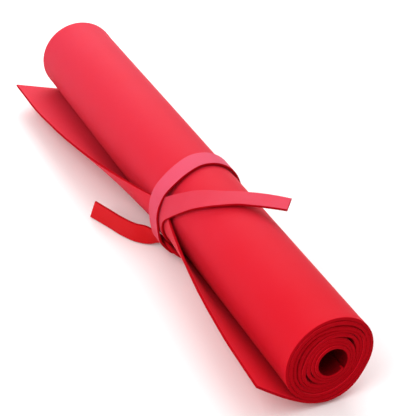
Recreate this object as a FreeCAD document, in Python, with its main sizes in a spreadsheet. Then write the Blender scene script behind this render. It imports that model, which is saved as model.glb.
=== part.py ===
import FreeCAD, Part
import math
import os

# A backdrop sheet wound into an open-centred roll, with the last of its outer turn
# hanging loose along one side, tied round with a strip of the same sheet.
#
# Frame: +X along the roll's axis, +Z up, the loose edge on the -Y side.
# The origin is on the axis of the open centre, at the middle of the roll's length.

Vector = FreeCAD.Vector

# name, value (mm, or degrees where the name says angle), what it is
SIZES = [
    ("sheet_width", 500.0, "cut width of the sheet, which is the roll's length"),
    ("sheet_thick", 2.0, "thickness of the sheet, and of the strap cut from it"),
    ("turn_gap", 0.88, "air between one turn and the next"),
    ("bore_radius", 10.5, "radius of the open centre"),
    ("whole_turns", 8, "whole turns in the wound part"),
    ("inner_end_angle", -40.0, "where the inner edge of the sheet lies, seen along -X"),
    ("root_angle", -95.0, "where the loose edge leaves the wound part"),
    ("loose_length", 61.0, "how much sheet hangs loose, from its root to its free edge"),
    ("near_lift_angle", 36.0, "how far the loose edge lifts at the +X end"),
    ("near_curl", 17.0, "distance over which the +X end bends up to that lift"),
    ("far_lift_angle", 13.0, "how far the loose edge lifts at the -X end"),
    ("far_curl", 7.0, "distance over which the -X end bends up to that lift"),
    ("strap_width", 17.0, "width of the tie strap"),
    ("left_end_slant", 6.6, "how much further the left tail's end reaches at its lower corner"),
    ("strap_clear", 0.25, "air between the strap and the sheet, and between its layers"),
    ("tie_place", 33.0, "where the tie sits, from mid-length towards +X"),
    ("near_grip", 3.3, "how far past the slanting strap the +X loose edge is still held down"),
    ("far_grip", 14.0, "how far to the -X side the tie holds the loose edge down"),
]

doc = FreeCAD.newDocument("tied_backdrop_roll")
dims = doc.addObject("Spreadsheet::Sheet", "dims")
for row, (alias, value, meaning) in enumerate(SIZES, start=1):
    dims.set(f"A{row}", alias)
    dims.set(f"B{row}", str(value))
    dims.set(f"C{row}", meaning)
    dims.setAlias(f"B{row}", alias)
doc.recompute()
size = {alias: float(dims.get(alias)) for alias, _, _ in SIZES}

half_width = size["sheet_width"] / 2
thick = size["sheet_thick"]
pitch = thick + size["turn_gap"]

# The innermost turn is round over this many degrees. It then ramps up over the
# inner edge of the sheet, and from there each turn grows by one pitch.
BORE_SPAN = 285.0
RAMP_SPAN = 90.0
RAMP_STEPS = 6


def on_circle(centre, radius, angle):
    """A point (y, z) on a circle, with the angle in degrees from +Y towards +Z."""
    a = math.radians(angle)
    return (centre[0] + radius * math.cos(a), centre[1] + radius * math.sin(a))


def in_section(point, x=0.0):
    return Vector(x, point[0], point[1])


# ---------------------------------------------------------------- the wound turns
# Going outwards the sheet turns clockwise, seen from the +X end. The spiral is made of
# half-turn arcs about two centres, a quarter of a pitch each side of the axis.
seam_angle = size["inner_end_angle"] - BORE_SPAN - RAMP_SPAN
seam_radius = size["bore_radius"] + pitch * (BORE_SPAN + RAMP_SPAN) / 360
root_turn = 360 * size["whole_turns"] + size["inner_end_angle"] - size["root_angle"]
spiral_span = root_turn - BORE_SPAN - RAMP_SPAN


def half_turn(index):
    """Centre (y, z) and inner radius of one half-turn arc of the spiral."""
    side = -1 if index % 2 == 0 else 1
    centre = on_circle((0, 0), side * pitch / 4, seam_angle)
    return centre, seam_radius + pitch / 4 + index * pitch / 2


def ramp_points(offset):
    """The climb from the round innermost turn to the spiral, as points (y, z)."""
    points = []
    for step in range(RAMP_STEPS + 1):
        share = step / RAMP_STEPS
        rise = share * share * (3 - 2 * share)
        radius = size["bore_radius"] + offset + (seam_radius - size["bore_radius"]) * rise
        angle = size["inner_end_angle"] - BORE_SPAN - RAMP_SPAN * share
        points.append(on_circle((0, 0), radius, angle))
    return points


def arc_through(centre, radius, start, span):
    """A clockwise arc in the sketch plane, given by three of its points."""
    ends = [on_circle(centre, radius, start - span * share) for share in (0, 0.5, 1)]
    return Part.Arc(*[Vector(y, z, 0) for y, z in ends])


def sheet_side(offset):
    """One face of the wound sheet, from its inner edge to the loose edge's root."""
    bore = size["bore_radius"] + offset
    curves = [arc_through((0, 0), bore, size["inner_end_angle"], BORE_SPAN)]
    ramp = ramp_points(offset)
    directions = []
    for share in (0, 1):
        a = math.radians(size["inner_end_angle"] - BORE_SPAN - RAMP_SPAN * share)
        directions.append(Vector(math.sin(a), -math.cos(a), 0))
    climb = Part.BSplineCurve()
    climb.interpolate(
        Points=[Vector(y, z, 0) for y, z in ramp],
        InitialTangent=directions[0],
        FinalTangent=directions[1],
    )
    curves.append(climb)
    index, left = 0, spiral_span
    while left > 1e-6:
        span = min(180.0, left)
        centre, radius = half_turn(index)
        curves.append(arc_through(centre, radius + offset, seam_angle - 180 * index, span))
        index, left = index + 1, left - span
    return curves


def end_point(curve, last):
    return curve.value(curve.LastParameter if last else curve.FirstParameter)


coil = doc.addObject("PartDesign::Body", "sheet_coil")
coil.Label = "sheet_coil"
section = coil.newObject("Sketcher::SketchObject", "coil_section")
cross_plane = next(f for f in coil.Origin.OriginFeatures if f.Role == "YZ_Plane")
section.AttachmentSupport = (cross_plane, [""])
section.MapMode = "FlatFace"
section.setExpression("AttachmentOffset.Base.z", "-dims.sheet_width / 2")
inner_side, outer_side = sheet_side(0.0), sheet_side(thick)
section.addGeometry(inner_side + outer_side, False)


def near_end(curve, target):
    """Which end of an arc or spline lies at the target point."""
    return min((False, True), key=lambda last: end_point(curve, last).distanceToPoint(target))


for first, second in ((inner_side[0], outer_side[0]), (inner_side[-1], outer_side[-1])):
    angle = size["inner_end_angle"] if first is inner_side[0] else size["root_angle"]
    if first is inner_side[0]:
        centre, radius = (0, 0), size["bore_radius"]
    else:
        centre, radius = half_turn(len(inner_side) - 3)
    corners = [Vector(*on_circle(centre, radius + offset, angle), 0) for offset in (0, thick)]
    a = end_point(first, near_end(first, corners[0]))
    b = end_point(second, near_end(second, corners[1]))
    section.addGeometry(Part.LineSegment(a, b), False)
wound = coil.newObject("PartDesign::Pad", "wound_turns")
wound.Profile = section
wound.setExpression("Length", "dims.sheet_width")

# ---------------------------------------------------------------- the loose edge
# The loose edge starts where the wound part ends, and heads off along its tangent. At
# the tie it follows the roll round, and away from the tie it opens out towards each end.
last_centre, last_radius = half_turn(len(inner_side) - 3)
mid_radius = last_radius + thick / 2
root = on_circle(last_centre, mid_radius, size["root_angle"])
root_heading = math.radians(size["root_angle"] - 90)
EDGE_STEPS = 12
OPENING_STEPS = (0.0, 0.12, 0.28, 0.5, 0.75, 1.0)


def loose_profile(openness, lift_angle, curl):
    """The (y, z) corners of the loose edge's section: inner face, then outer face."""
    lift = math.radians(lift_angle)

    def turned(s):
        held = s / mid_radius
        free = lift * (1 - math.exp(-s / curl))
        return root_heading - ((1 - openness) * held + openness * free)

    step = size["loose_length"] / EDGE_STEPS
    y, z = root
    inner, outer = [], []
    for index in range(EDGE_STEPS + 1):
        heading = turned(index * step)
        normal = (math.cos(heading + math.pi / 2), math.sin(heading + math.pi / 2))
        inner.append((y - normal[0] * thick / 2, z - normal[1] * thick / 2))
        outer.append((y + normal[0] * thick / 2, z + normal[1] * thick / 2))
        middle = turned((index + 0.5) * step)
        y += step * math.cos(middle)
        z += step * math.sin(middle)
    return inner, outer


def section_wire(x, openness, lift_angle, curl):
    inner, outer = loose_profile(openness, lift_angle, curl)
    edges = []
    for points in (inner, outer):
        curve = Part.BSplineCurve()
        curve.interpolate([in_section(p, x) for p in points])
        edges.append(curve.toShape())
    edges.insert(1, Part.makeLine(in_section(inner[-1], x), in_section(outer[-1], x)))
    edges.append(Part.makeLine(in_section(outer[0], x), in_section(inner[0], x)))
    return Part.Wire(Part.__sortEdges__(edges))


def loose_edge(direction, grip, lift_angle, curl, spring):
    """One half of the loose edge, from the tie's middle to the roll's +X or -X end. It
    opens faster past the tie for a smaller spring."""
    grip_end = size["tie_place"] + direction * grip
    roll_end = direction * half_width
    wires = [section_wire(size["tie_place"], 0.0, lift_angle, curl)]
    for share in OPENING_STEPS:
        x = grip_end + (roll_end - grip_end) * share
        openness = math.sin(math.pi / 2 * share) ** spring
        wires.append(section_wire(x, openness, lift_angle, curl))
    return Part.makeLoft(wires, True, True)


def add_shape(label, shape):
    feature = doc.addObject("Part::Feature", label)
    feature.Label = label
    feature.Shape = shape
    feature.Placement = FreeCAD.Placement()
    return feature


# The free edge reaches further round the roll if the loose edge is longer or the roll is
# thinner. The strap slants down over it, so both sides of that crossing follow this angle.
free_angle = size["root_angle"] + 360 - math.degrees(size["loose_length"] / mid_radius)
STRAP_SLANT = [(45.5, 113), (37.0, 126), (29.0, 139), (20.5, 152), (13.0, 163), (8.0, 175)]
STRAP_CLIMB = [
    (-53.2, -0.32), (-40.2, -0.38), (-27.2, -0.36), (-20.5, -0.11), (-14.2, -0.10),
    (-7.5, 0.19), (-3.2, 0.20),
]


def between(table, value):
    """Read a table of pairs, sorted by their first number, at a value in between."""
    value = max(table[0][0], min(table[-1][0], value))
    for (low, first), (high, last) in zip(table, table[1:]):
        if value <= high:
            return first + (last - first) * (value - low) / (high - low)


strap_at = between([(angle, along) for along, angle in STRAP_SLANT], free_angle)
near_hold = strap_at + size["strap_width"] * 0.705 + size["near_grip"]
print(f"free edge at {free_angle:.2f} degrees, held down to {near_hold:.2f} mm")
near_edge = add_shape(
    "sheet_loose_edge_near",
    loose_edge(1, near_hold, size["near_lift_angle"], size["near_curl"], 0.85),
)
far_edge = add_shape(
    "sheet_loose_edge_far",
    loose_edge(-1, size["far_grip"], size["far_lift_angle"], size["far_curl"], 0.85),
)

# ---------------------------------------------------------------- the tie strap
# One strip. It comes over the roll from the right tail, dips under itself on the left
# side, folds back round the other tail, goes over the top, down the right side and under
# the roll, and turns through its own fold to end as the left tail on the table.
lap = thick + size["strap_clear"]
lap_radius = last_radius + thick + size["strap_clear"] + thick / 2
table_mid = -lap_radius


def on_roll(along, angle, laps, face_turn=0.0, gather=1.0):
    """A point on the roll: along the axis from the tie, round it, and laps above the
    sheet. face_turn turns the strap's face away from straight out, in degrees, and
    gather is the share of its width that is left where it is bunched in the knot."""
    radius = lap_radius + laps * lap
    face = math.radians(angle + face_turn)
    point = in_section(on_circle((0, 0), radius, angle), size["tie_place"] + along)
    return point, Vector(0, math.cos(face), math.sin(face)), gather


def off_roll(along, y, z, face, gather=1.0):
    """A point beside or under the roll, with the way the strap's face looks."""
    return Vector(size["tie_place"] + along, y, z), Vector(*face).normalize(), gather


UNDER = -180.0
strap_route = [
    # right tail, standing clear of the roll
    off_roll(83.0, 36.5, lap_radius - 0.3, (0, 0.10, 1)),
    off_roll(76.5, 28.0, lap_radius + 0.4, (0, 0.04, 1)),
    off_roll(68.0, 16.5, lap_radius + 0.7, (0, 0, 1)),
    off_roll(60.0, 5.0, lap_radius + 0.3, (0, 0, 1)),
    # slanting over the top and down the left side, next to the sheet
    on_roll(53.0, 100, -0.20),
    *[on_roll(along, angle, between(STRAP_CLIMB, angle - free_angle))
      for along, angle in STRAP_SLANT[:-1]],
    on_roll(8.0, 175, 0.24, 0, 0.96),
    on_roll(5.5, 190, 0.25, 0, 0.90),
    on_roll(4.0, 206, 0.20, 0, 0.82),
    on_roll(3.2, 219, 0.14, 0, 0.80),
    on_roll(3.0, 232, 0.15, 0, 0.80),
    # folded back round the other tail
    on_roll(3.0, 235.2, 0.45, -45, 0.80),
    on_roll(3.0, 236.5, 1.22, -90, 0.80),
    on_roll(3.0, 235.2, 2.00, -135, 0.80),
    on_roll(3.0, 232, 2.32, UNDER, 0.80),
    on_roll(3.0, 219, 2.36, UNDER, 0.80),
    on_roll(3.0, 207, 2.20, UNDER, 0.80),
    on_roll(2.8, 197, 1.52, UNDER, 0.80),
    on_roll(2.8, 187, 1.28, UNDER, 0.84),
    on_roll(3.0, 175, 1.36, UNDER, 0.88),
    on_roll(3.0, 162, 1.48, UNDER, 0.92),
    on_roll(2.0, 148, 1.16, UNDER, 0.96),
    # over the top and down the right side
    on_roll(0.6, 132, 0.20, UNDER),
    on_roll(-2.0, 112, -0.42, UNDER),
    on_roll(-5.5, 90, -0.55, UNDER),
    on_roll(-7.5, 65, -0.50, UNDER),
    on_roll(-9.0, 40, -0.42, UNDER),
    on_roll(-10.0, 15, -0.35, UNDER),
    on_roll(-9.5, -10, -0.28, UNDER),
    on_roll(-7.5, -35, -0.15, UNDER),
    on_roll(-3.5, -57, 0.05, UNDER),
    # pressed flat on the table under the roll
    off_roll(0.6, 8.5, table_mid, (0, 0, 1)),
    off_roll(4.2, 3.0, table_mid, (0, 0, 1)),
    off_roll(8.2, -3.0, table_mid, (0, 0, 1), 0.98),
    off_roll(11.9, -8.5, table_mid, (0, 0, 1), 0.93),
    # up the left side, bunching up and turning to pass through the fold
    on_roll(17.0, -117, 0.40, UNDER, 0.76),
    on_roll(17.6, -127, 0.92, UNDER, 0.62),
    on_roll(15.3, -134.5, 1.10, UNDER, 0.62),
    on_roll(9.5, -138, 1.13, UNDER, 0.66),
    on_roll(3.2, -138.4, 1.14, UNDER, 0.68),
    on_roll(-3.0, -138.8, 1.18, UNDER, 0.66),
    off_roll(-9.3, -33.2, -28.0, (-0.30, 0.82, 0.42), 0.82),
    # left tail, standing on its edge on the table
    off_roll(-15.4, -38.6, -28.9, (-0.66, 0.74, 0.12)),
    off_roll(-22.5, -45.4, -29.3, (-0.55, 0.83, 0.05)),
    off_roll(-35.3, -52.2, -29.5, (-0.40, 0.91, 0)),
    off_roll(-52.3, -58.2, -29.6, (-0.34, 0.94, 0)),
    off_roll(-70.8, -65.0, -29.6, (-0.34, 0.94, -0.02)),
]


def ruled(one, other):
    """The face swept by a straight line between two splines with the same knots."""
    surface = Part.BSplineSurface()
    surface.buildFromPolesMultsKnots(
        [one.getPoles(), other.getPoles()],
        [2, 2], one.getMultiplicities(), [0, 1], one.getKnots(), False, False, 1, one.Degree,
    )
    return surface.toShape()


# the strap's long faces are made in stretches of this many stations each
STRETCH_STATIONS = 6


def strap_solid(route):
    """A flat strip along the route, as four long ruled faces and two ends."""
    points = [point for point, _, _ in route]
    runs = [0.0]
    for before, after in zip(points, points[1:]):
        runs.append(runs[-1] + after.distanceToPoint(before))
    middle = Part.BSplineCurve()
    middle.interpolate(Points=points, Parameters=runs)
    corners = {(side, face): [] for side in (-1, 1) for face in (-1, 1)}
    for (point, facing, gather), run in zip(route, runs):
        heading = middle.tangent(run)[0]
        facing = (facing - heading * facing.dot(heading)).normalize()
        across = facing.cross(heading)
        for side, face in corners:
            offset = across * (side * gather * size["strap_width"] / 2)
            if run == runs[-1]:
                offset -= heading * (side * size["left_end_slant"] / 2)
            offset += facing * (face * thick / 2)
            corners[side, face].append(point + offset)
    around = [(-1, -1), (1, -1), (1, 1), (-1, 1)]
    breaks = runs[::STRETCH_STATIONS][:-1] + runs[-1:]
    faces = []
    for start, stop in zip(breaks, breaks[1:]):
        lines = {}
        for key, places in corners.items():
            lines[key] = Part.BSplineCurve()
            lines[key].interpolate(Points=places, Parameters=runs)
            lines[key].segment(start, stop)
        faces += [ruled(lines[a], lines[b]) for a, b in zip(around, around[1:] + around[:1])]
    for end in (0, -1):
        outline = [corners[key][end] for key in around]
        faces.append(Part.Face(Part.makePolygon(outline + outline[:1])))
    shell = Part.Shell(faces)
    shell.sewShape()
    solid = Part.Solid(Part.Shell(shell.Faces))
    if solid.Volume < 0:
        solid.reverse()
    print(f"strap length {runs[-1]:.1f} mm, volume {solid.Volume:.0f} mm3,"
          f" section times length {runs[-1] * size['strap_width'] * thick:.0f} mm3")
    return solid


tie = add_shape("tie_strap", strap_solid(strap_route))

# ---------------------------------------------------------------- check and write
doc.recompute()
for item in doc.Objects:
    if "Invalid" in item.State or "Error" in item.State:
        raise RuntimeError(f"{item.Label} failed: {item.State}")
os.makedirs("parts", exist_ok=True)
for piece in (coil, near_edge, far_edge, tie):
    shape = piece.Shape
    if shape.isNull() or not shape.isValid():
        raise RuntimeError(f"{piece.Label} has no valid shape")
    box = shape.BoundBox
    print(f"{piece.Label}: {len(shape.Solids)} solid, {shape.Volume / 1000:.1f} cm3,"
          f" x {box.XMin:.1f} {box.XMax:.1f}, y {box.YMin:.1f} {box.YMax:.1f},"
          f" z {box.ZMin:.1f} {box.ZMax:.1f}")
    shape.exportStep(f"parts/{piece.Label}.step")
sheet_volume = coil.Shape.Volume + near_edge.Shape.Volume + far_edge.Shape.Volume
print(f"flat sheet {size['sheet_width']:.0f} by"
      f" {sheet_volume / thick / size['sheet_width']:.0f} mm")
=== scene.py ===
# %% [markdown]
# # A tied roll of backdrop sheet
#
# The object is one big rectangle of soft foam sheet, wound into a roll with an open middle.
# The last stretch of the outer turn hangs loose along one side. A strip cut from the same
# sheet is passed round the roll and tied in a half knot, and its two tails stand free.
#
# The roll's axis is X, up is Z, and the loose edge is on the -Y side. Every length here is
# in metres, and the script works in millimetres only where that is easier to read.

import math

import bpy
import numpy as np
from mathutils import Matrix, Vector


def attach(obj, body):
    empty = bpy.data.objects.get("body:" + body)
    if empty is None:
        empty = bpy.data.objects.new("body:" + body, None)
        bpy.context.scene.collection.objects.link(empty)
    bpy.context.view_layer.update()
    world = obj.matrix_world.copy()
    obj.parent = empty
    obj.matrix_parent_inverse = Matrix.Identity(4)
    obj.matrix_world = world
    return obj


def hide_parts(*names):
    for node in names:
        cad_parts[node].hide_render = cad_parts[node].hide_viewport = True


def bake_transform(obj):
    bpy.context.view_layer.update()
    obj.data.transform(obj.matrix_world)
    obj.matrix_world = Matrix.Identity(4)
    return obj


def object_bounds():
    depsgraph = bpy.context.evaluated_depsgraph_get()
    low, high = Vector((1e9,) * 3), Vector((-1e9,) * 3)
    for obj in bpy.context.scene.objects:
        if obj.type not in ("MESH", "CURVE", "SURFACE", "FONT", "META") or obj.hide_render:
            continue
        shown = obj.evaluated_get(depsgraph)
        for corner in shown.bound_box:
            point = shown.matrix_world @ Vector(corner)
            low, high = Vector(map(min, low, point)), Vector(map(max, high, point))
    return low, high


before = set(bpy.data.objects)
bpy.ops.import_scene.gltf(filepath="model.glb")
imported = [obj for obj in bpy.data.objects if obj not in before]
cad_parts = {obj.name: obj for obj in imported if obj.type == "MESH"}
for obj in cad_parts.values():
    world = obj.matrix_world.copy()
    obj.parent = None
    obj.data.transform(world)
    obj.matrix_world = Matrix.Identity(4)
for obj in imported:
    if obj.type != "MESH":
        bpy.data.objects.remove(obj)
cad_low, cad_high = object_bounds()
MM = 0.001
print("frame nodes", sorted(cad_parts))
print("CAD box", [round(v, 4) for v in cad_low], [round(v, 4) for v in cad_high])
bpy.ops.object.select_all(action="DESELECT")

# %% [markdown]
# ## The camera
#
# A long lens looks down on the roll from above its near end. A camera could be aimed with a
# Track To constraint, but three plain directions (forward, up and right) say the same thing
# and leave nothing live in the file.

# %% Place the camera
LOOK = Vector((-0.76638, 0.34550, -0.54155)).normalized()
UP = Vector((-0.49370, 0.22257, 0.84066)).normalized()
camera_data = bpy.data.cameras.new("camera")
camera_data.lens = 123.35
camera_data.sensor_width = 36.0
camera_data.clip_start = 0.05
camera = bpy.data.objects.new("camera", camera_data)
bpy.context.scene.collection.objects.link(camera)
side = LOOK.cross(UP)
turn = Matrix((side, UP, -LOOK)).transposed().to_4x4()
camera.matrix_world = Matrix.Translation((0.90400, -0.38531, 0.60909)) @ turn
bpy.context.scene.camera = camera
print("camera at", [round(v, 3) for v in camera.location])

# %% [markdown]
# ## How a thick soft sheet is made
#
# Everything on this object is sheet, so one helper makes all of it. It takes the middle
# surface of the sheet as a grid of points and gives it a thickness along its normals.
# Solidify and Bevel would do that too. Here the helper also has to leave some edges square,
# where one piece of the sheet carries on into the next, so it thins the sheet towards each
# real cut edge itself. That rounds the rim as a knife rounds soft foam.

# %% A helper that gives a grid of points its thickness
SHEET_THICK = 2.0 * MM
ROUNDING = 0.7 * MM
CUT_SHARE = 0.45  # the outer part of the rounding that shows the knife's cut
SMOOTH_BELOW = math.radians(50)


def grid_normals(grid):
    """The unit normal at each point of a grid with shape (rows, columns, 3)."""
    along = np.gradient(grid, axis=0)
    across = np.gradient(grid, axis=1)
    normal = np.cross(along, across)
    return normal / np.linalg.norm(normal, axis=2, keepdims=True)


def rounded_half(distance, thickness):
    """Half the sheet's thickness at this distance in from a cut edge."""
    inset = np.clip(ROUNDING - distance, 0, ROUNDING)
    return thickness / 2 - ROUNDING + np.sqrt(ROUNDING**2 - inset**2)


def thick_sheet(name, middle, to_cut_edge, normal=None, thickness=SHEET_THICK):
    """A closed sheet round a grid of middle points. to_cut_edge is each point's distance
    from the nearest cut edge. Faces on the rim get the second material slot."""
    rows, columns = middle.shape[:2]
    normal = grid_normals(middle) if normal is None else normal
    half = rounded_half(to_cut_edge, thickness)[..., None]
    top = (middle + normal * half).reshape(-1, 3)
    bottom = (middle - normal * half).reshape(-1, 3)
    number = np.arange(rows * columns).reshape(rows, columns)
    a, b = number[:-1, :-1].ravel(), number[1:, :-1].ravel()
    c, d = number[1:, 1:].ravel(), number[:-1, 1:].ravel()
    low = rows * columns
    quads = [np.stack([a, b, c, d], 1), np.stack([d, c, b, a], 1) + low]
    loop = np.concatenate(
        [number[0, :], number[1:, -1], number[-1, -2::-1], number[-2:0:-1, 0]]
    )
    after = np.roll(loop, -1)
    quads.append(np.stack([loop, after, after + low, loop + low], 1))
    mesh = bpy.data.meshes.new(name)
    points = np.concatenate([top, bottom]).tolist()
    mesh.from_pydata(points, [], np.concatenate(quads).tolist())
    mesh.validate()
    piece = bpy.data.objects.new(name, mesh)
    bpy.context.scene.collection.objects.link(piece)
    edge = np.concatenate([to_cut_edge.ravel(), to_cut_edge.ravel()])
    corner_edge = np.array([min(edge[v] for v in face.vertices) for face in mesh.polygons])
    at_cut = (corner_edge < ROUNDING * CUT_SHARE).astype(np.int32)
    mesh.polygons.foreach_set("material_index", at_cut)
    finish_mesh(piece)
    return piece


def finish_mesh(piece):
    """Smooth shading with crisp corners, and faces turned outwards."""
    bpy.ops.object.select_all(action="DESELECT")
    piece.select_set(True)
    bpy.context.view_layer.objects.active = piece
    bpy.ops.object.mode_set(mode="EDIT")
    bpy.ops.mesh.select_all(action="SELECT")
    bpy.ops.mesh.normals_make_consistent(inside=False)
    bpy.ops.object.mode_set(mode="OBJECT")
    bpy.ops.object.shade_smooth_by_angle(angle=SMOOTH_BELOW)
    print(piece.name, len(piece.data.polygons), "faces")
    piece.select_set(False)


print("sheet", round(SHEET_THICK / MM, 2), "mm thick, rims rounded", round(ROUNDING / MM, 2), "mm")

# %% [markdown]
# ## The wound turns
#
# On the real roll no two turns lie alike. Some press together, some leave a dark gap, the
# hole sits a little low, and the end of each turn stands slightly in or out of the last.
#
# A plain spiral could be drawn as a curve and extruded, but every gap in it would be the
# same. Instead each turn gets its own closed outline, and the sheet runs smoothly from one
# outline to the next as it goes round. The space left over between the hole and the outside
# is shared out unevenly, so the turns never run into each other.

# %% Measures of the wound turns, in millimetres and degrees
HALF_WIDTH = 250.0
HOLE_RADIUS = 10.5
PITCH = 2.88  # one sheet and the gap to the next turn, where they lie evenly
WHOLE_TURNS = 8
INNER_EDGE = -40.0  # where the sheet begins, in the hole
ROOT = -95.0  # where the wound part ends and the loose edge begins
TURNS = WHOLE_TURNS + (INNER_EDGE - ROOT) / 360
CLOSEST = 2.12
OUTER_TURN = 33.56
EVEN_SHARE = 0.35
GAP_STRENGTH = 2.2
print("turns", round(TURNS, 2))

# %% The outline of each turn


def bump(angle, centre, width):
    """A smooth hill on a circle of angles, 1 at its centre."""
    away = (angle - centre + 180) % 360 - 180
    return np.exp(-((away / width) ** 2))


# which gap, share of the spare room, where it lies, how wide it is: near end, then far end
NEAR_GAPS = [
    (7, 2.6, -45, 34), (6, 1.2, -60, 40), (5, 1.6, 140, 42), (4, 2.2, 150, 38),
    (3, 1.0, 35, 40), (6, 0.9, 70, 30), (2, 0.9, -130, 45), (7, 0.8, 160, 35),
]
FAR_GAPS = [
    (7, 1.4, 60, 50), (6, 1.8, 120, 40), (5, 1.2, -70, 45), (4, 1.4, 10, 40),
    (3, 1.2, -150, 50), (2, 1.0, 80, 40), (6, 1.0, -20, 35),
]


def flattening(angle):
    """How far the outside is pressed in at the near end, where the roll rests on its side."""
    return 2.9 * bump(angle, -30, 27) + 0.9 * bump(angle, 5, 22) + 0.35 * bump(angle, 130, 40)


def turn_outlines(angle, gaps, hole_centre, hole_radius, press):
    """The inner radius of turns 0 to 9 at each of these angles, as rows of an array."""
    reach = np.hypot(*hole_centre)
    away = np.radians(angle) - math.atan2(hole_centre[1], hole_centre[0])
    hole = reach * np.cos(away) + np.sqrt(hole_radius**2 - (reach * np.sin(away)) ** 2)
    outside = OUTER_TURN - press
    spare = np.full((WHOLE_TURNS, len(angle)), EVEN_SHARE)
    for which, share, centre, width in gaps:
        spare[which] += share * GAP_STRENGTH * bump(angle, centre, width)
    spare *= (outside - hole - WHOLE_TURNS * CLOSEST) / spare.sum(axis=0)
    steps = np.cumsum(CLOSEST + spare, axis=0)
    rows = np.vstack([hole, hole + steps])
    return np.vstack([rows, rows[-1] + PITCH])


print(len(NEAR_GAPS), "gaps at the near end,", len(FAR_GAPS), "at the far end")

# %% [markdown]
# Between the two ends the roll is round and even, and it is there that the tie holds it.
# So the near end's outlines fade into even ones, and those into the far end's.

# %% Wind the sheet
PER_TURN = 72
steps_round = int(TURNS * PER_TURN)
turn_number = np.linspace(0, TURNS, steps_round + 1)
angle_round = INNER_EDGE - 360 * turn_number


def radius_in(outlines):
    """Each step's radius, carried smoothly from one turn's outline to the next."""
    which = np.minimum(turn_number.astype(int), WHOLE_TURNS)
    share = turn_number - which
    steps = np.arange(len(turn_number))
    return (1 - share) * outlines[which, steps] + share * outlines[which + 1, steps]


near_radius = radius_in(
    turn_outlines(angle_round, NEAR_GAPS, (1.6, -2.1), 9.9, flattening(angle_round))
)
even_radius = radius_in(turn_outlines(angle_round, [], (0.3, -0.4), 10.6, 0 * angle_round))
far_radius = radius_in(turn_outlines(angle_round, FAR_GAPS, (-0.8, 0.9), 10.7, 0 * angle_round))

inset = np.array([0, 0.05, 0.17, 0.35, 0.55, 1.2, 3, 7, 13, 22, 35, 52, 74, 100, 130, 165, 205])
end_inset = inset[:6]
across = np.concatenate([-HALF_WIDTH + inset, [0], HALF_WIDTH - inset[::-1]])


def smooth_step(value, low, high):
    share = np.clip((value - low) / (high - low), 0, 1)
    return share * share * (3 - 2 * share)


to_near = smooth_step(across, 75, 250) ** 0.7
to_far = smooth_step(-across, 40, 250) ** 0.7
radius = even_radius[:, None] + np.outer(near_radius - even_radius, to_near)
radius += np.outer(far_radius - even_radius, to_far)
radius += SHEET_THICK / MM / 2
print("middle radius from", round(radius.min(), 2), "to", round(radius.max(), 2), "mm")

# %% [markdown]
# The ends of the turns are never quite flush. The innermost ones stand out a little, the
# loose ones in the middle have slipped back, and a slow wave runs along each cut edge.

# %% Let the turns slip along each other
slip_near = (
    0.9 * np.exp(-((turn_number / 1.6) ** 2))
    - 1.1 * np.exp(-(((turn_number - 4.2) / 1.3) ** 2))
    + 0.28 * np.sin(turn_number * 2.1 + 0.6)
    + 0.16 * np.sin(turn_number * 6.9)
)
slip_near *= smooth_step(TURNS - turn_number, 0.0, 0.9)
slip_far = 0.5 * np.sin(turn_number * 1.3) + 0.3 * np.sin(turn_number * 3.7 + 1)
slip_far *= smooth_step(TURNS - turn_number, 0.0, 0.9)
x_round = across[None, :] + np.outer(slip_near, smooth_step(across, 150, 250))
x_round = x_round + np.outer(slip_far, smooth_step(-across, 150, 250))

theta = np.radians(angle_round)[:, None]
coil_middle = np.stack([x_round, radius * np.cos(theta), radius * np.sin(theta)], 2) * MM
from_side = np.minimum(across + HALF_WIDTH, HALF_WIDTH - across) * MM
mid_roll = coil_middle[:, len(across) // 2]
run_round = np.concatenate([[0], np.cumsum(np.linalg.norm(np.diff(mid_roll, axis=0), axis=1))])
coil_edge = np.minimum(from_side[None, :], run_round[:, None])

# %% [markdown]
# Soft foam swells where it is cut, so at the two ends most turns touch and only the loosest
# gaps stay open. The swelling is whatever room the neighbours leave, up to 0.7 mm.

# %% Swell the cut ends into the room there is
MOST_SWELL = 0.7
TOUCH_ROOM = 0.14
step_out = radius[PER_TURN:] - radius[:-PER_TURN]
to_next = np.concatenate([step_out, step_out[-PER_TURN:]])
to_last = np.concatenate([step_out[:PER_TURN], step_out])
room = np.minimum(to_next, to_last) - TOUCH_ROOM
swell = np.clip(room - SHEET_THICK / MM, 0, MOST_SWELL)
swell *= smooth_step(np.abs(across), 238, 248)[None, :]
swell *= smooth_step(TURNS - turn_number, 0.02, 0.25)[:, None]
coil = thick_sheet("wound_sheet", coil_middle, coil_edge, thickness=SHEET_THICK + swell * MM)
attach(coil, "roll")
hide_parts("sheet_coil")

# %% [markdown]
# ## The loose edge
#
# The last 61 mm of the sheet isn't wound in. Under the tie it lies round the roll, and away
# from the tie it springs open, most at the two ends.
#
# A cloth simulation would make it sag, which stiff foam doesn't do. What foam does is bend
# with a slowly changing curve, so the edge is drawn by its bend: a heading that turns a
# little with every millimetre. Openness runs from 0 at the tie to 1 at the roll's end.

# %% Bend the loose edge
LOOSE_LENGTH = 61.0
TIE_PLACE = 33.0
FIRST_LAP = 375  # degrees wound before the turns settle into half circles
seam = math.radians(INNER_EDGE - FIRST_LAP)
last_centre = (-PITCH / 4 * math.cos(seam), -PITCH / 4 * math.sin(seam))
last_radius = HOLE_RADIUS + PITCH * FIRST_LAP / 360 + PITCH / 4 + 14 * PITCH / 2 + 1.0
print("last turn's middle radius", round(last_radius, 2), "mm")


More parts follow.
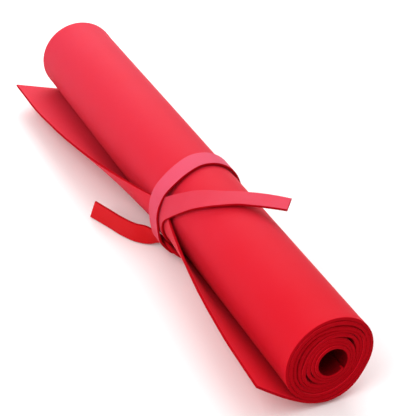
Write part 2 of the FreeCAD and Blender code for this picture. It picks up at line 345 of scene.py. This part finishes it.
def loose_row(openness, lift, curl, steps):
    """Points (y, z) down the loose edge, root first."""
    length = np.linspace(0, LOOSE_LENGTH, steps)
    heading = math.radians(ROOT - 90) - (
        (1 - openness) * length / last_radius
        + openness * math.radians(lift) * (1 - np.exp(-length / curl))
    )
    middle = (heading[1:] + heading[:-1]) / 2
    step = LOOSE_LENGTH / (steps - 1)
    root = math.radians(ROOT)
    y = last_centre[0] + last_radius * math.cos(root)
    z = last_centre[1] + last_radius * math.sin(root)
    y = y + np.concatenate([[0], np.cumsum(step * np.cos(middle))])
    z = z + np.concatenate([[0], np.cumsum(step * np.sin(middle))])
    return y, z


def loose_edge(name, direction, grip, lift, curl, spring):
    """One half of the loose edge, from under the tie to one end of the roll. grip is how far
    the tie holds it down, lift and curl say how far and how soon it springs open."""
    roll_end = direction * HALF_WIDTH
    far_inset = np.array(
        [130, 108, 88, 70, 54, 40, 28, 18, 10, 5, 2, 0.9, 0.55, 0.35, 0.17, 0.05, 0]
    )
    span = abs(roll_end - TIE_PLACE)
    under_tie = np.array([0, 5, 10, 15, 20, 25, 30, 36, 43, 51, 60, 70])
    along = np.concatenate([under_tie, span - far_inset])
    if span - far_inset[0] > 110:
        along = np.insert(along, len(under_tie), [82, 95, 110, 125, 139])
    rim = LOOSE_LENGTH - end_inset[::-1]
    steps = np.concatenate([np.linspace(0, LOOSE_LENGTH - 1.5, 34), rim])
    fine = np.linspace(0, LOOSE_LENGTH, 245)
    grid = np.zeros((len(steps), len(along), 3))
    for column, reach in enumerate(along):
        share = max(0.0, (reach - grip) / (span - grip))
        openness = math.sin(math.pi / 2 * share) ** spring
        y, z = loose_row(openness, lift, curl, len(fine))
        grid[:, column, 0] = TIE_PLACE + direction * reach
        grid[:, column, 1] = np.interp(steps, fine, y)
        grid[:, column, 2] = np.interp(steps, fine, z)
    # a slow ripple along the free edge, where the sheet remembers the turn it came from
    free = smooth_step(steps, 20, LOOSE_LENGTH)[:, None]
    open_part = smooth_step(along, grip + 5, span)[None, :]
    ripple = 0.5 * np.sin(along / 23.0 + 1.0) + 0.35 * np.sin(along / 9.5)
    grid[:, :, 2] += free * open_part * ripple[None, :]
    if direction > 0:
        grid = grid[:, ::-1]
        along = along[::-1]
    to_end = span - along
    to_cut = np.minimum(to_end[None, :], (LOOSE_LENGTH - steps)[:, None])
    piece = thick_sheet(name, grid * MM, to_cut * MM)
    print(name, "is", span, "mm long, out to", round(-grid[:, :, 1].min(), 1), "mm from the axis")
    return piece


near_edge = loose_edge("loose_edge_near", 1, grip=20.0, lift=36.0, curl=17.0, spring=0.85)
far_edge = loose_edge("loose_edge_far", -1, grip=14.0, lift=13.0, curl=7.0, spring=0.85)
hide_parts("sheet_loose_edge_near")
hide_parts("sheet_loose_edge_far")

# %% [markdown]
# ## The tie strap
#
# One strip, cut across the sheet. From its right tail it slants over the top and down the
# left side against the roll. Low on the left it folds back round the other tail, runs up
# over itself, over the top, down the right side and under the roll. There it turns through
# its own fold and ends as the left tail, standing on its edge on the table.
#
# A curve with a flat bevel would twist where it turns back on itself. So the route is
# written as a maker would lay it: how far along the roll from the tie's middle, at what
# angle round it, how many layers off the sheet, and which way the strap's face looks.

# %% Lay out the strap's route
STRAP_WIDTH = 18.0
LEFT_SLANT = 0.38
LAP = 2.25  # from one layer of strap to the next
STRAP_ROOM = 0.25
LAP_RADIUS = last_radius + SHEET_THICK / MM + STRAP_ROOM
TABLE_MID = -LAP_RADIUS
UNDER = -180.0  # the strap shows its other face


def on_roll(along, angle, laps, face_turn=0.0, gather=1.0):
    """A station on the roll. gather is how much of its width the strap keeps there."""
    r, a, f = LAP_RADIUS + laps * LAP, math.radians(angle), math.radians(angle + face_turn)
    point = (TIE_PLACE + along, r * math.cos(a), r * math.sin(a))
    return (*point, 0, math.cos(f), math.sin(f), gather)


def off_roll(along, y, z, face, gather=1.0):
    """A station clear of the roll, with the way the strap's face looks."""
    return (TIE_PLACE + along, y, z, *face, gather)


route = np.array([
    # right tail
    off_roll(83.0, 36.5, LAP_RADIUS - 0.3, (0, 0.10, 1)),
    off_roll(76.5, 28.0, LAP_RADIUS + 0.4, (0, 0.04, 1)),
    off_roll(68.0, 16.5, LAP_RADIUS + 0.7, (0, 0, 1)),
    off_roll(60.0, 5.0, LAP_RADIUS + 0.3, (0, 0, 1)),
    # slanting over the top and down the left side, next to the sheet
    on_roll(53.0, 100, -0.20),
    on_roll(45.5, 113, -0.32),
    on_roll(37.0, 126, -0.38),
    on_roll(29.0, 139, -0.36),
    on_roll(20.5, 152, -0.10),
    on_roll(13.0, 163, 0.20),
    on_roll(8.0, 175, 0.24, 0, 0.96),
    on_roll(5.5, 190, 0.25, 0, 0.92),
    on_roll(4.0, 206, 0.04, 0, 0.88),
    on_roll(3.3, 219, -0.06, 0, 0.86),
    on_roll(3.1, 232, -0.02, 0, 0.81),
    # folded back round the other tail
    on_roll(3.0, 235.2, 0.45, -45, 0.78),
    on_roll(3.0, 236.5, 1.22, -90, 0.78),
    on_roll(3.0, 235.2, 2.00, -135, 0.78),
    on_roll(3.1, 232, 2.34, UNDER, 0.81),
    on_roll(3.3, 219, 2.38, UNDER, 0.86),
    on_roll(3.3, 207, 2.26, UNDER, 0.87),
    on_roll(3.0, 197, 1.64, UNDER, 0.88),
    on_roll(2.9, 187, 1.30, UNDER, 0.90),
    on_roll(3.0, 175, 1.36, UNDER, 0.88),
    on_roll(3.0, 162, 1.48, UNDER, 0.92),
    on_roll(2.0, 148, 1.16, UNDER, 0.96),
    # over the top and down the right side
    on_roll(0.6, 132, 0.20, UNDER),
    on_roll(-2.0, 112, -0.42, UNDER),
    on_roll(-5.5, 90, -0.55, UNDER),
    on_roll(-7.5, 65, -0.50, UNDER),
    on_roll(-9.0, 40, -0.42, UNDER),
    on_roll(-10.0, 15, -0.35, UNDER),
    on_roll(-9.5, -10, -0.28, UNDER),
    on_roll(-7.5, -35, -0.15, UNDER),
    on_roll(-3.5, -57, 0.05, UNDER),
    # pressed flat on the table under the roll
    off_roll(0.6, 8.5, TABLE_MID, (0, 0, 1)),
    off_roll(4.2, 3.0, TABLE_MID, (0, 0, 1)),
    off_roll(8.2, -3.0, TABLE_MID, (0, 0, 1), 0.98),
    off_roll(11.9, -8.5, TABLE_MID, (0, 0, 1), 0.93),
    # up the left side, bunching up and turning to pass through the fold
    on_roll(17.2, -117, 0.40, UNDER, 0.70),
    on_roll(17.6, -127, 0.92, UNDER, 0.62),
    on_roll(15.3, -134.8, 1.12, UNDER, 0.68),
    on_roll(9.5, -138.2, 0.98, UNDER, 0.66),
    on_roll(3.2, -138.4, 0.94, UNDER, 0.70),
    on_roll(-3.0, -138.8, 1.00, UNDER, 0.66),
    off_roll(-9.5, -33.2, -28.0, (-0.32, 0.84, 0.40), 0.84),
    # left tail, standing on its edge on the table
    off_roll(-15.4, -38.6, -28.9, (-0.66, 0.74, 0.12)),
    off_roll(-22.5, -45.4, -29.3, (-0.55, 0.83, 0.05)),
    off_roll(-35.3, -52.2, -29.5, (-0.40, 0.91, 0)),
    off_roll(-52.3, -58.2, -29.6, (-0.34, 0.94, 0)),
    off_roll(-70.8, -65.0, -29.6, (-0.34, 0.94, -0.02)),
])
print(len(route), "stations on the strap's route")

# %% [markdown]
# A smooth strip needs many more stations than that. Each number in the list is carried
# from one station to the next by a cubic whose slope is that of its neighbours, which is
# how a springy batten bends round pegs.

# %% Fair the route and lay the strip along it


def fair(stations, spots, at):
    """Cubic interpolation through the stations, with slopes from their neighbours."""
    gaps = np.diff(spots)[:, None]
    chords = np.diff(stations, axis=0) / gaps
    slopes = np.empty_like(stations)
    slopes[1:-1] = (chords[:-1] * gaps[1:] + chords[1:] * gaps[:-1]) / (gaps[1:] + gaps[:-1])
    slopes[0], slopes[-1] = 2 * chords[0] - slopes[1], 2 * chords[-1] - slopes[-2]
    which = np.clip(np.searchsorted(spots, at, side="right") - 1, 0, len(spots) - 2)
    gap = gaps[which]
    t = ((at - spots[which]) / gap[:, 0])[:, None]
    first, last = stations[which], stations[which + 1]
    return (
        (2 * t**3 - 3 * t**2 + 1) * first + (t**3 - 2 * t**2 + t) * gap * slopes[which]
        + (3 * t**2 - 2 * t**3) * last + (t**3 - t**2) * gap * slopes[which + 1]
    )


spots = np.concatenate([[0], np.cumsum(np.linalg.norm(np.diff(route[:, :3], axis=0), axis=1))])
strap_length = spots[-1]
body = np.arange(2.0, strap_length - 2.0, 1.1)
runs = np.concatenate([end_inset, body, strap_length - end_inset[::-1]])
stations = fair(route, spots, runs)
heading = np.gradient(stations[:, :3], runs, axis=0)
heading /= np.linalg.norm(heading, axis=1, keepdims=True)
facing = stations[:, 3:6]
facing = facing - heading * (facing * heading).sum(axis=1, keepdims=True)
facing /= np.linalg.norm(facing, axis=1, keepdims=True)
sideways = np.cross(facing, heading)
half_strap = STRAP_WIDTH / 2
side_inset = np.array([0, 0.05, 0.17, 0.35, 0.55, 1.4, 3.4, 6.2])
spread = np.concatenate([-half_strap + side_inset, [0], half_strap - side_inset[::-1]])
strap_middle = (
    stations[:, None, :3]
    + sideways[:, None, :] * spread[None, :, None] * stations[:, None, 6:7]
)
# the left end was cut at a slant, so its lower corner reaches further out
slant = smooth_step(runs, strap_length - 16, strap_length)[:, None, None]
strap_middle -= heading[:, None, :] * slant * spread[None, :, None] * LEFT_SLANT
to_side = half_strap - np.abs(spread)
to_tip = np.minimum(runs, strap_length - runs)
strap_edge = np.minimum(to_side[None, :], to_tip[:, None]) * MM
strap_normal = np.repeat(facing[:, None, :], len(spread), axis=1)
strap = thick_sheet("tie_strip", strap_middle * MM, strap_edge, strap_normal)
print("strap length", round(strap_length, 1), "mm")
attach(strap, "tie")
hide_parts("tie_strap")

# %% [markdown]
# ## Foam skin and foam cut
#
# The sheet is matt and dyed right through. Its rolled skin has a very fine grain, a faint
# waviness and a soft sheen at a low angle, and a little light passes into it. Where the knife
# went through, the open cells show: the cut is rougher and duller, and its colour is painted
# deeper as shade. Inside the hole the skin is painted nearly black as shade.
#
# A picture of foam could be wrapped on as an image, but noise in the object's own space has
# no seams, keeps its real size and needs no unwrapping, so all the finishes use that.

# %% Helpers for the finishes


def new_finish(name):
    material = bpy.data.materials.new(name)
    material.use_nodes = True
    return material, material.node_tree, material.node_tree.nodes["Principled BSDF"]


def noise(tree, place, scale, detail=2.0, rough=0.5):
    node = tree.nodes.new("ShaderNodeTexNoise")
    node.inputs["Scale"].default_value = scale
    node.inputs["Detail"].default_value = detail
    node.inputs["Roughness"].default_value = rough
    tree.links.new(place.outputs["Object"], node.inputs["Vector"])
    return node


def remap(tree, source, low, high):
    node = tree.nodes.new("ShaderNodeMapRange")
    node.inputs["To Min"].default_value = low
    node.inputs["To Max"].default_value = high
    tree.links.new(source, node.inputs["Value"])
    return node.outputs["Result"]


def mix_colours(tree, share, first, second):
    node = tree.nodes.new("ShaderNodeMix")
    node.data_type = "RGBA"
    node.inputs[6].default_value = (*first, 1)
    node.inputs[7].default_value = (*second, 1)
    tree.links.new(share, node.inputs[0])
    return node.outputs[2]


def bump_chain(tree, shader, layers):
    """Stacks bumps, coarse first: each layer is (height, distance in metres, strength)."""
    last = None
    for height, distance, strength in layers:
        node = tree.nodes.new("ShaderNodeBump")
        node.inputs["Strength"].default_value = strength
        node.inputs["Distance"].default_value = distance
        tree.links.new(height, node.inputs["Height"])
        if last is not None:
            tree.links.new(last.outputs["Normal"], node.inputs["Normal"])
        last = node
    tree.links.new(last.outputs["Normal"], shader.inputs["Normal"])


print("finish helpers ready")

# %% [markdown]
# The colour is painted paler where sheen from the lamps would show, as a painted highlight. On
# the sheet it grows slowly from one end of the roll to the other, which the X coordinate alone
# can say. The strap runs back over itself, so there a place in space can't tell its layers apart:
# its own points carry the number instead.

# %% Two ways to read how much painted sheen the colour gets


def painted_sheen_along_roll(tree, place):
    """How much painted sheen the sheet gets: 0 at the +X end of the roll, 1 at the -X end."""
    parts = tree.nodes.new("ShaderNodeSeparateXYZ")
    tree.links.new(place.outputs["Object"], parts.inputs["Vector"])
    node = tree.nodes.new("ShaderNodeMapRange")
    node.inputs["From Min"].default_value = HALF_WIDTH * MM
    node.inputs["From Max"].default_value = -HALF_WIDTH * MM
    tree.links.new(parts.outputs["X"], node.inputs["Value"])
    return node.outputs["Result"]


def painted_sheen_by_point(tree):
    """How much painted sheen the strap gets, from the numbers kept at its own points."""
    node = tree.nodes.new("ShaderNodeAttribute")
    node.attribute_name = "painted_sheen"
    return node.outputs["Fac"]


def add_up(tree, first, second):
    node = tree.nodes.new("ShaderNodeMath")
    node.operation = "ADD"
    node.use_clamp = True
    tree.links.new(first, node.inputs[0])
    tree.links.new(second, node.inputs[1])
    return node.outputs[0]


# the sheet's painted sheen grows over the whole length of the roll
print("painted_sheen_gradient runs over", 2 * HALF_WIDTH, "mm of the roll")

# %% [markdown]
# The rolled skin is a clouded mix of a deep and a pale red, pushed towards the pale red by the
# painted sheen, and the cut a rough one over small cells. Both get their relief from bumps far
# finer than the sheet is thick.

# %% The skin and the cut


def foam_skin(name, deep, pale, sheen, specular, by_place=True):
    material, tree, shader = new_finish(name)
    place = tree.nodes.new("ShaderNodeTexCoord")
    cloudy = noise(tree, place, 26, 3.0)
    grain = noise(tree, place, 1500, 2.0)
    waviness = noise(tree, place, 160, 2.0)
    cloud = remap(tree, cloudy.outputs["Fac"], -0.14, 0.14)
    # painted sheen: the pale red is mixed in where the lamps' sheen would show
    painted_sheen = painted_sheen_along_roll(tree, place) if by_place else painted_sheen_by_point(tree)
    blend = add_up(tree, cloud, painted_sheen)
    tree.links.new(mix_colours(tree, blend, deep, pale), shader.inputs["Base Color"])
    tree.links.new(remap(tree, grain.outputs["Fac"], 0.62, 0.82), shader.inputs["Roughness"])
    shader.inputs["Specular IOR Level"].default_value = specular
    shader.inputs["Sheen Weight"].default_value = sheen
    shader.inputs["Sheen Roughness"].default_value = 0.5
    shader.inputs["Sheen Tint"].default_value = (1.0, 0.45, 0.58, 1)
    shader.inputs["Subsurface Weight"].default_value = 0.25
    shader.inputs["Subsurface Radius"].default_value = (1.0, 0.08, 0.05)
    shader.inputs["Subsurface Scale"].default_value = 0.006
    bump_chain(tree, shader, [
        (waviness.outputs["Fac"], 0.0004, 0.25),
        (grain.outputs["Fac"], 0.00012, 0.35),
    ])
    return material


def foam_cut(name, deep, pale):
    material, tree, shader = new_finish(name)
    place = tree.nodes.new("ShaderNodeTexCoord")
    cells = tree.nodes.new("ShaderNodeTexVoronoi")
    cells.inputs["Scale"].default_value = 2600
    tree.links.new(place.outputs["Object"], cells.inputs["Vector"])
    drag = noise(tree, place, 420, 3.0)
    blend = remap(tree, drag.outputs["Fac"], 0.0, 1.0)
    tree.links.new(mix_colours(tree, blend, deep, pale), shader.inputs["Base Color"])
    tree.links.new(remap(tree, drag.outputs["Fac"], 0.8, 0.95), shader.inputs["Roughness"])
    shader.inputs["Specular IOR Level"].default_value = 0.03
    bump_chain(tree, shader, [
        (drag.outputs["Fac"], 0.0003, 0.4),
        (cells.outputs["Distance"], 0.00015, 0.5),
    ])
    return material


# %% Mix the finishes
# the pale red of each skin is the colour of the painted sheen
sheet_skin = foam_skin("sheet foam skin", (0.60, 0.002, 0.013), (0.62, 0.026, 0.054), 0.02, 0.14)
strap_skin = foam_skin(
    "strap foam skin", (0.56, 0.002, 0.006), (0.64, 0.068, 0.125), 0.02, 0.14, by_place=False
)
# painted shade: both reds of the cut are darker than the skin's
cut_with_painted_shade = foam_cut("sheet foam cut with painted shade", (0.34, 0.0008, 0.004), (0.42, 0.0016, 0.008))
# painted shade: the skin inside the hole is nearly black, as the hole's shade
painted_hole_shade = foam_skin("foam skin with painted hole shade", (0.15, 0.0006, 0.003), (0.18, 0.001, 0.006), 0.0, 0.02)
for piece in (coil, near_edge, far_edge):
    piece.data.materials.append(sheet_skin)
    piece.data.materials.append(cut_with_painted_shade)
coil.data.materials.append(painted_hole_shade)
strap.data.materials.append(strap_skin)
strap.data.materials.append(cut_with_painted_shade)
print("finishes", [material.name for material in (sheet_skin, strap_skin, cut_with_painted_shade, painted_hole_shade)])

# %% [markdown]
# ## Painted sheen and painted shade
#
# The strap is painted paler, as sheen from the lamps, where it lies over the top of the roll, and
# least on the left tail. It could be painted on by hand as vertex colour, but a short table of
# places along the strap is easier to change. Inside the hole, the first turn's inner side and its
# rim get skin painted dark as shade. They are found by where their points stand in the grid the
# sheet was made from.

# %% Paint sheen on the strap along its length
# painted highlight: 1 where the lamps' sheen would show most on the strap
sheen_at = [0, 60, 130, 170, 200, 240, 330, 400, 440]
sheen_share = [0.65, 0.5, 0.42, 0.5, 0.75, 1, 1, 0.3, 0]
sheen_by_point = np.repeat(np.interp(runs, sheen_at, sheen_share), len(spread))
sheen_paint = strap.data.attributes.new("painted_sheen", "FLOAT", "POINT")
sheen_paint.data.foreach_set("value", np.tile(sheen_by_point, 2).astype(np.float32))
print("fade from", sheen_by_point.min(), "to", sheen_by_point.max())

# %% Paint shade on the inside of the hole
# painted shade: the first turn's inner side and its rim, in the hole, get the dark skin
PAINTED_SHADE_STEPS = PER_TURN + 8
columns = len(across)
side_points = coil_middle.shape[0] * columns
shaded = 0
for face in coil.data.polygons:
    steps_in = [(v % side_points) // columns for v in face.vertices]
    columns_in = [v % columns for v in face.vertices]
    inner_side = face.material_index == 0 and max(face.vertices) < side_points
    off_the_ends = 5 < min(columns_in) and max(columns_in) < columns - 6
    inner_rim = max(steps_in) <= 1 and off_the_ends
    if inner_side and max(steps_in) <= PAINTED_SHADE_STEPS or inner_rim:
        face.material_index = 2
        shaded += 1
print(shaded, "worn faces in the hole")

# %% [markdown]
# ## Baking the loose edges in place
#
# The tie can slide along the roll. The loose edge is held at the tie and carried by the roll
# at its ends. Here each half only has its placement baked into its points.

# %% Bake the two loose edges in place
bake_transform(near_edge)
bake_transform(far_edge)

# %% [markdown]
# ## Floor and light
#
# A wide pale floor under three soft lamps: a very large one overhead, a smaller one behind
# that brightens the top of the roll, and a fill in front on the side of the loose edge. The
# fill is faintly rosy, as light is that comes back off red foam. A pale world lights all
# round, so no shadow goes black. A sun lamp would be simpler, but its shadows are hard.

# %% Lay the floor
floor_height = cad_low.z
bpy.ops.object.select_all(action="DESELECT")
bpy.ops.mesh.primitive_plane_add(size=30, location=(0, 0, floor_height - 0.0002))
floor = bpy.context.object
floor.name = "floor"
floor_finish, floor_tree, floor_shader = new_finish("pale floor")
floor_shader.inputs["Base Color"].default_value = (0.92, 0.92, 0.92, 1)
floor_shader.inputs["Roughness"].default_value = 0.9
floor.data.materials.append(floor_finish)
print("floor at", round(floor_height, 4))

# %% Hang the lamps


def soft_lamp(name, place, aim, size, power, colour=(1, 1, 1)):
    data = bpy.data.lights.new(name, "AREA")
    data.shape = "DISK"
    data.size = size
    data.energy = power
    data.color = colour
    lamp = bpy.data.objects.new(name, data)
    bpy.context.scene.collection.objects.link(lamp)
    lamp.location = place
    lamp.rotation_mode = "QUATERNION"
    lamp.rotation_quaternion = (Vector(aim) - Vector(place)).to_track_quat("-Z", "Y")
    return lamp


soft_lamp("ceiling", (-0.3, 0.35, 2.2), (0, 0, 0), 4.0, 26)
soft_lamp("back", (-1.3, 0.5, 1.0), (-0.05, 0, 0), 1.2, 15)
soft_lamp("front fill", (0.7, -1.5, 1.7), (0, 0, 0), 1.8, 29, (1.0, 0.9, 0.9))
world = bpy.data.worlds.new("studio")
bpy.context.scene.world = world
world.use_nodes = True
sky = world.node_tree.nodes["Background"]
sky.inputs["Color"].default_value = (1, 1, 1, 1)
sky.inputs["Strength"].default_value = 0.58
bpy.context.scene.view_settings.view_transform = "Standard"
